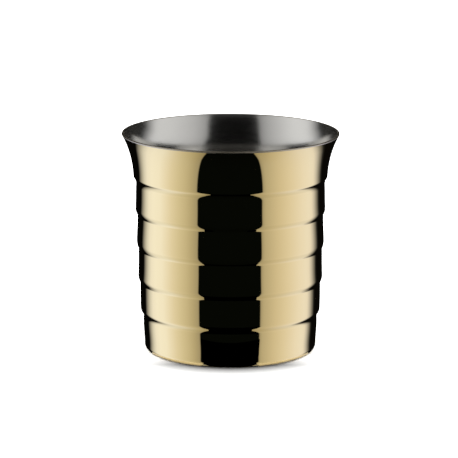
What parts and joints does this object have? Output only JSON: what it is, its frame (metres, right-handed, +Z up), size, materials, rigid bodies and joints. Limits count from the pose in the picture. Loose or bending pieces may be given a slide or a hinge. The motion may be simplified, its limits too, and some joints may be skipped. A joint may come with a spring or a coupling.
{
  "type": "bar jigger",
  "caption": "Round stepped bar jigger with a flared lip: a gold-finished outer shell around a satin steel measuring cup, open at the top and flat underneath.",
  "frame": {"origin": "centre of the flat foot that the jigger stands on", "axes": "+Z up along the cup's axis, from the foot to the open lip; X and Y are equivalent"},
  "size_m": [0.054, 0.054, 0.055],
  "materials": {
    "gold_finish": "mirror-polished stainless steel with a pale gold coating",
    "satin_steel": "fine circular satin brushing",
    "polished_steel": "ground and polished bare steel",
    "brushed_steel": "circular brushing",
    "weld_seam": "laser weld seam, lightly blasted"
  },
  "bodies": {
    "root": {"outer_shell": "gold_finish", "inner_cup": "satin_steel", "rim_weld": "polished_steel", "base_plate": "brushed_steel", "base_weld": "weld_seam"}
  },
  "joints": []
}
